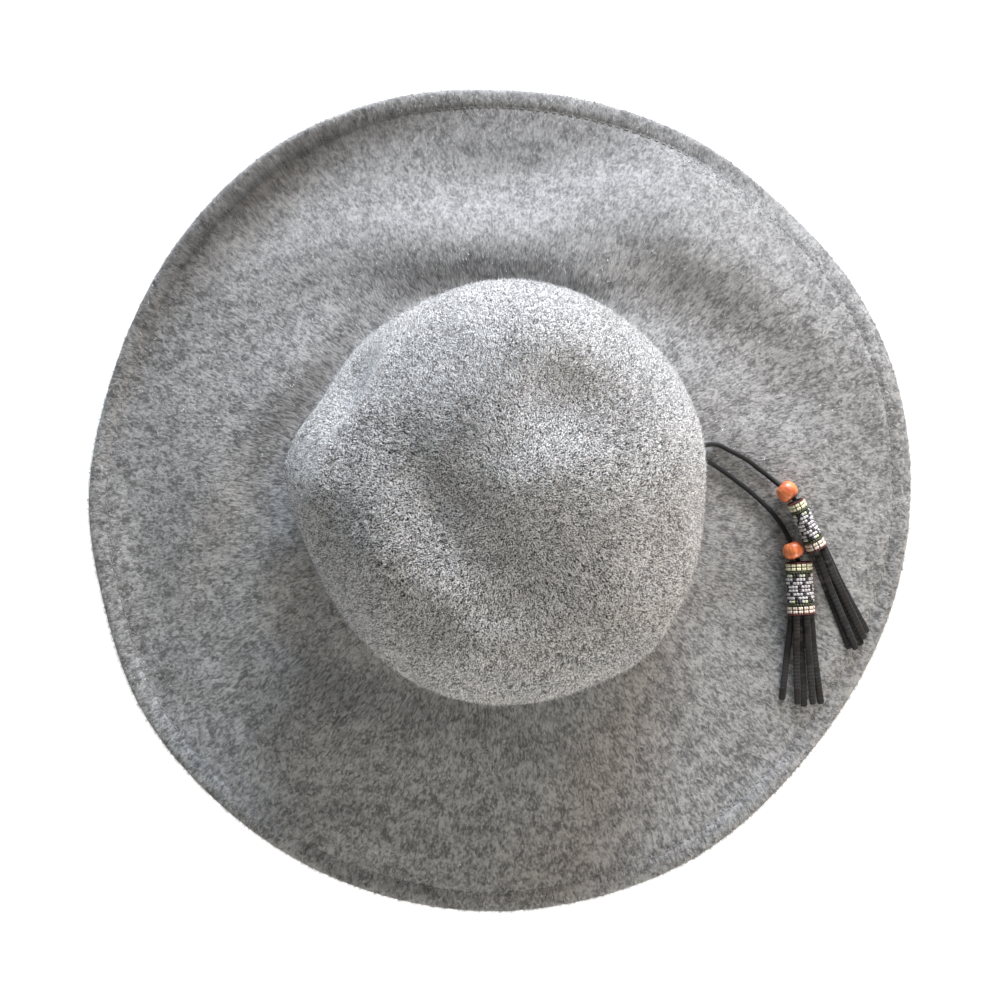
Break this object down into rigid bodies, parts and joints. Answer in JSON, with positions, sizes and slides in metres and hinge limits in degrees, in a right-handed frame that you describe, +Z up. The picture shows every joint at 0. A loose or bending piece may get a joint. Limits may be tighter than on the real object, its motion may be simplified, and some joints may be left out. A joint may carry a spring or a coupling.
{
  "type": "floppy hat",
  "caption": "Wide floppy hat of blocked wool felt with a soft round crown, a stitched hem, and a lace band whose two tails end in bead sleeves and strip tassels.",
  "frame": {"origin": "on the surface the hat rests on, under the middle of the brim", "axes": "+Z up through the crown, +Y towards the wearer's front, +X towards the side that carries the tassels"},
  "size_m": [0.4009, 0.4004, 0.1149],
  "materials": {
    "felt": "heather grey wool felt with a brushed nap",
    "lace": "black suede lace",
    "wood_bead": "orange stained wood with a satin varnish",
    "seed_beads": "small glossy beads in white, cream, pale green and black",
    "tassel_strips": "black suede cut in flat strips"
  },
  "bodies": {
    "root": {"felt_body": "felt", "band_lace": "lace", "band_knot": "lace", "tail_lace_upper": "lace", "bead_upper": "wood_bead", "sleeve_upper": "seed_beads", "tassel_upper": "tassel_strips", "tail_lace_lower": "lace", "bead_lower": "wood_bead", "sleeve_lower": "seed_beads", "tassel_lower": "tassel_strips"}
  },
  "joints": []
}
